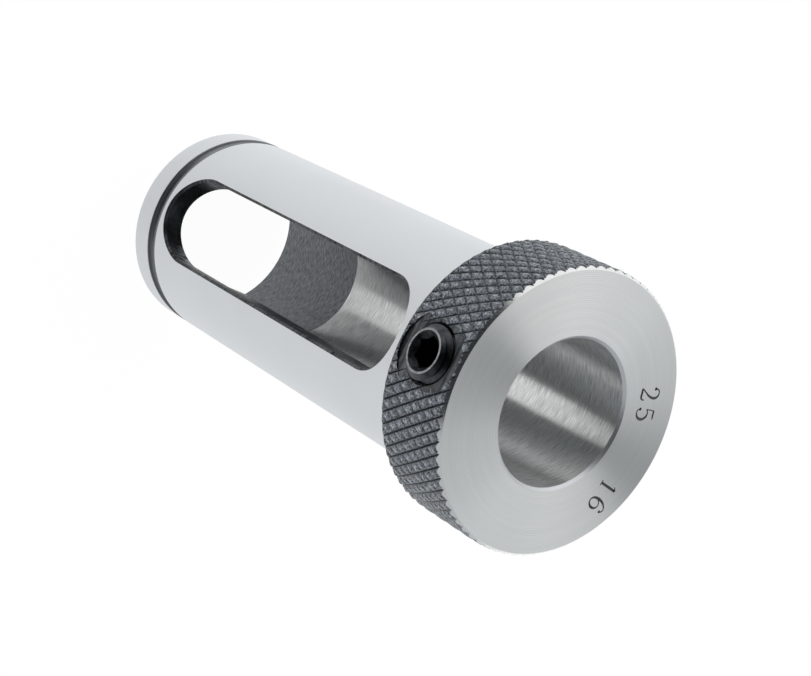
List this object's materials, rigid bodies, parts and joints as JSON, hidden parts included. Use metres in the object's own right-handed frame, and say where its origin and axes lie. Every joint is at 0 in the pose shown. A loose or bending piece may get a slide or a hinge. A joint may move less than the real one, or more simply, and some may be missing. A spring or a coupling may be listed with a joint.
{
  "type": "reducing sleeve",
  "caption": "Reducing sleeve with a knurled head, a side window and a clamp screw, for a round shank tool in a larger holder.",
  "frame": {"origin": "centre of the rear end face, on the axis of the bore", "axes": "+Z along the axis from the rear end up to the head, -Y towards the window and the clamp screw"},
  "size_m": [0.031, 0.0316, 0.07],
  "materials": {
    "ground_steel": "ground and turned bright, with a black oxide knurl, window, relief bore and groove",
    "black_oxide_steel": "black oxide, slightly oily"
  },
  "bodies": {
    "sleeve": {"sleeve": "ground_steel"},
    "clamp_screw": {"clamp_screw": "black_oxide_steel"}
  },
  "joints": [
    {"name": "screw_travel", "type": "slide", "parent": "sleeve", "child": "clamp_screw", "axis": [0, 1, 0], "range_m": [-0.003, 0.002]}
  ]
}
